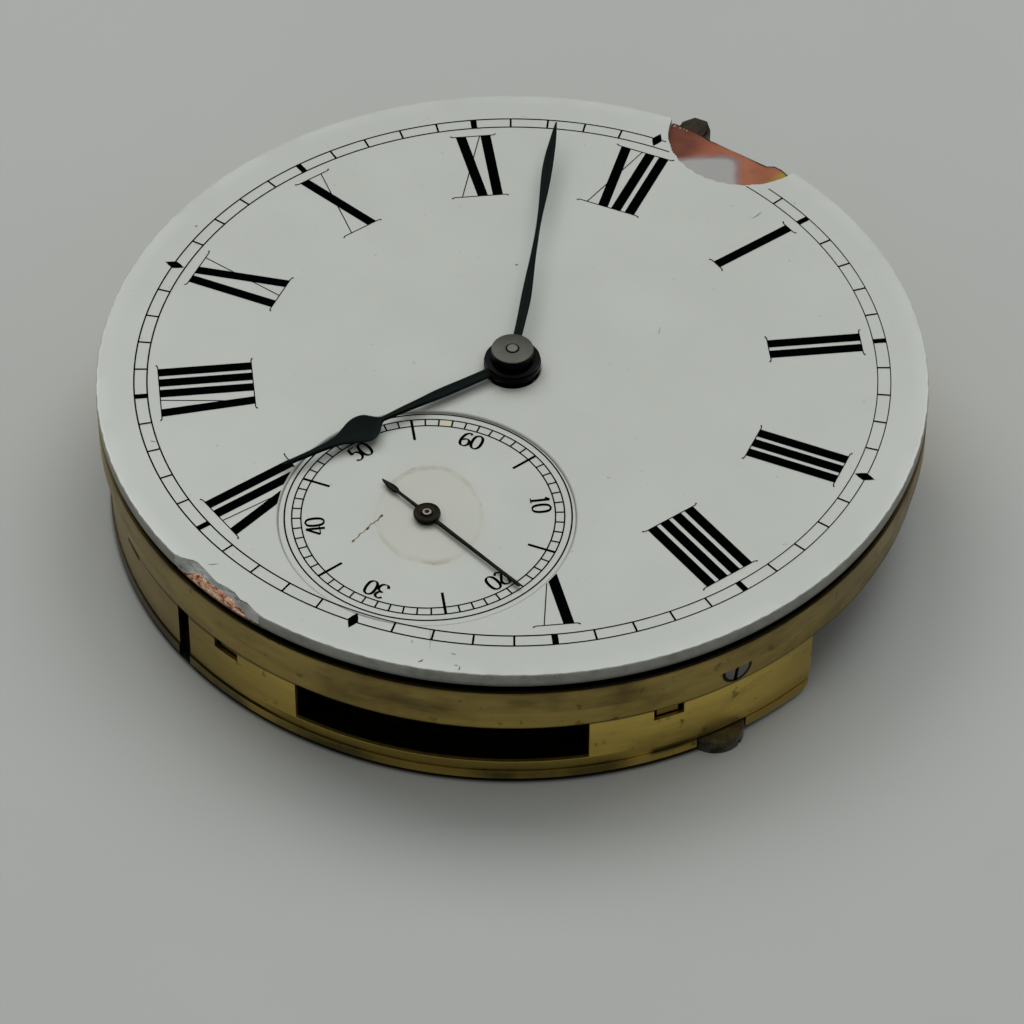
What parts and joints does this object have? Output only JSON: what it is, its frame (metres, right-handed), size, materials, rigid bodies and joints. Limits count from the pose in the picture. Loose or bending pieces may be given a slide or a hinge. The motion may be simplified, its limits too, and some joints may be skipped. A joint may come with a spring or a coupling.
{
  "type": "pocket watch movement",
  "caption": "Pocket watch movement out of its case: white enamel dial with sunk seconds dial and blued hands on a round brass frame of plate and bridges with train, lever and balance inside.",
  "frame": {"origin": "centre of the back face of the bridges, on the centre arbor's axis", "axes": "+Z out of the dial, +Y towards XII, +X towards III"},
  "size_m": [0.0448, 0.0473, 0.0101],
  "materials": {
    "enamel": "white vitreous enamel, aged",
    "copper": "bare copper, dull",
    "gilt_brass": "gilded brass, tarnished",
    "wheel_brass": "polished brass",
    "steel": "polished steel",
    "dark_steel": "dark oxidised steel",
    "blued_steel": "blued steel, nearly black",
    "spring_steel": "blued spring steel",
    "ruby": "polished jewel"
  },
  "bodies": {
    "frame": {"dial_enamel": "enamel", "dial_copper": "copper", "seconds_dial": "enamel", "dial_feet": "copper", "dial_screws": "steel", "brass_edge": "gilt_brass", "pillar_plate": "gilt_brass", "train_bridge": "gilt_brass", "barrel_bridge": "gilt_brass", "balance_cock": "gilt_brass", "bridge_screws": "steel", "pallet_cock": "gilt_brass", "pallet_cock_screw": "steel", "jewels": "ruby", "hairspring": "spring_steel", "hairspring_stud": "steel", "banking_pins": "steel", "minute_post": "steel", "case_screws": "dark_steel", "case_lug": "dark_steel", "click_screw": "steel", "click_spring": "spring_steel"},
    "fourth": {"fourth_wheel": "wheel_brass", "fourth_pinion": "steel", "seconds_hand": "blued_steel"},
    "third": {"third_wheel": "wheel_brass", "third_pinion": "steel"},
    "centre": {"centre_wheel": "wheel_brass", "centre_pinion": "steel", "cannon_pinion": "steel", "minute_hand": "blued_steel"},
    "barrel": {"barrel_drum": "wheel_brass", "barrel_cover": "wheel_brass", "mainspring": "spring_steel"},
    "winding": {"barrel_arbor": "steel", "ratchet_wheel": "steel"},
    "escape": {"escape_wheel": "steel", "escape_pinion": "steel"},
    "lever": {"pallet_lever": "steel", "pallet_stones": "ruby", "pallet_arbor": "steel"},
    "balance": {"balance_wheel": "wheel_brass", "balance_screws": "wheel_brass", "balance_staff": "steel", "roller_table": "steel", "impulse_pin": "ruby", "hairspring_collet": "wheel_brass"},
    "minute_work": {"minute_wheel": "wheel_brass"},
    "hour": {"hour_wheel": "wheel_brass", "hour_hand": "blued_steel"},
    "regulator": {"regulator": "steel"},
    "click": {"click": "steel"}
  },
  "joints": [
    {"name": "fourth_spin", "type": "hinge", "parent": "frame", "child": "fourth", "pos_m": [0.00038, -0.01194, 0.0035], "axis": [0, 0, 1], "continuous": true},
    {"name": "third_spin", "type": "hinge", "parent": "frame", "child": "third", "pos_m": [-0.00344, -0.00683, 0.004], "axis": [0, 0, 1], "continuous": true},
    {"name": "centre_spin", "type": "hinge", "parent": "frame", "child": "centre", "pos_m": [0, 0, 0.0042], "axis": [0, 0, 1], "continuous": true},
    {"name": "barrel_spin", "type": "hinge", "parent": "frame", "child": "barrel", "pos_m": [-0.00495, 0.00857, 0.0032], "axis": [0, 0, 1], "continuous": true},
    {"name": "escape_spin", "type": "hinge", "parent": "frame", "child": "escape", "pos_m": [0.00533, -0.00908, 0.003], "axis": [0, 0, 1], "continuous": true},
    {"name": "minute_wheel_spin", "type": "hinge", "parent": "frame", "child": "minute_work", "pos_m": [0.00333, 0.00192, 0.0067], "axis": [0, 0, 1], "continuous": true},
    {"name": "hour_spin", "type": "hinge", "parent": "frame", "child": "hour", "pos_m": [0, 0, 0.0072], "axis": [0, 0, 1], "continuous": true},
    {"name": "winding_turn", "type": "hinge", "parent": "frame", "child": "winding", "pos_m": [-0.00495, 0.00857, 0.002], "axis": [0, 0, 1], "range_deg": [0, 1620], "deforming": ["mainspring"]},
    {"name": "click_lift", "type": "hinge", "parent": "frame", "child": "click", "pos_m": [-0.01075, 0.01013, 0.001], "axis": [0, 0, 1], "range_deg": [0, 10]},
    {"name": "lever_rock", "type": "hinge", "parent": "frame", "child": "lever", "pos_m": [0.00725, -0.00535, 0.0028], "axis": [0, 0, 1], "range_deg": [-5, 5]},
    {"name": "balance_swing", "type": "hinge", "parent": "frame", "child": "balance", "pos_m": [0.01, 0, 0.0016], "axis": [0, 0, 1], "range_deg": [-220, 220], "stiffness_Nm_per_rad": 0.0000021, "deforming": ["hairspring"]},
    {"name": "regulator_turn", "type": "hinge", "parent": "frame", "child": "regulator", "pos_m": [0.01, 0, 0.0001], "axis": [0, 0, 1], "range_deg": [-20, 20]}
  ],
  "couplings": [
    {"joint": "third_spin", "follows": "fourth_spin", "ratio": -0.13333},
    {"joint": "centre_spin", "follows": "fourth_spin", "ratio": 0.016667},
    {"joint": "barrel_spin", "follows": "fourth_spin", "ratio": -0.0020833},
    {"joint": "escape_spin", "follows": "fourth_spin", "ratio": -10},
    {"joint": "minute_wheel_spin", "follows": "fourth_spin", "ratio": -0.0055556},
    {"joint": "hour_spin", "follows": "fourth_spin", "ratio": 0.0013889}
  ]
}
